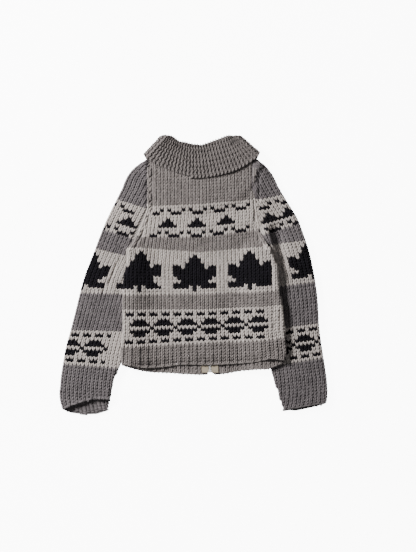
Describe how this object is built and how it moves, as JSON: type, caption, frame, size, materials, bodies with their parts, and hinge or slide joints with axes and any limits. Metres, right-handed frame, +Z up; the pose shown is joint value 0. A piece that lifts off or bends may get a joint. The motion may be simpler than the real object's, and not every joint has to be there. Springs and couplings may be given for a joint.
{
  "type": "cardigan",
  "caption": "Bulky hand-knit zip cardigan with folded collar, rib hem and long sleeves, laid flat with its back up.",
  "frame": {"origin": "under the middle of the garment's outline, on the surface it lies on", "axes": "+Z up out of the back, +Y towards the collar, +X to the right seen from above"},
  "size_m": [0.6288, 0.6598, 0.0294],
  "materials": {
    "heather_grey_wool": "fuzzy hand-knit wool",
    "sleeve_grey_wool": "fuzzy hand-knit wool",
    "collar_grey_wool": "fuzzy garter-stitch wool",
    "zip_tape": "woven cotton",
    "zip_metal": "bright metal"
  },
  "bodies": {
    "cardigan": {"back": "heather_grey_wool", "front_left": "heather_grey_wool", "front_right": "heather_grey_wool", "sleeve_left": "sleeve_grey_wool", "sleeve_right": "sleeve_grey_wool", "collar_left": "collar_grey_wool", "collar_right": "collar_grey_wool", "zip_tape_left": "zip_tape", "zip_tape_right": "zip_tape", "zip_teeth_left": "zip_metal", "zip_teeth_right": "zip_metal", "zip_box": "zip_metal", "slider": "zip_metal"},
    "pull_tab": {"pull_tab": "zip_metal"}
  },
  "joints": [
    {"name": "pull_tab_hinge", "type": "hinge", "parent": "cardigan", "child": "pull_tab", "pos_m": [0.02248, 0.2162, 0.0085], "axis": [1, 0, 0], "range_deg": [0, 150]}
  ]
}
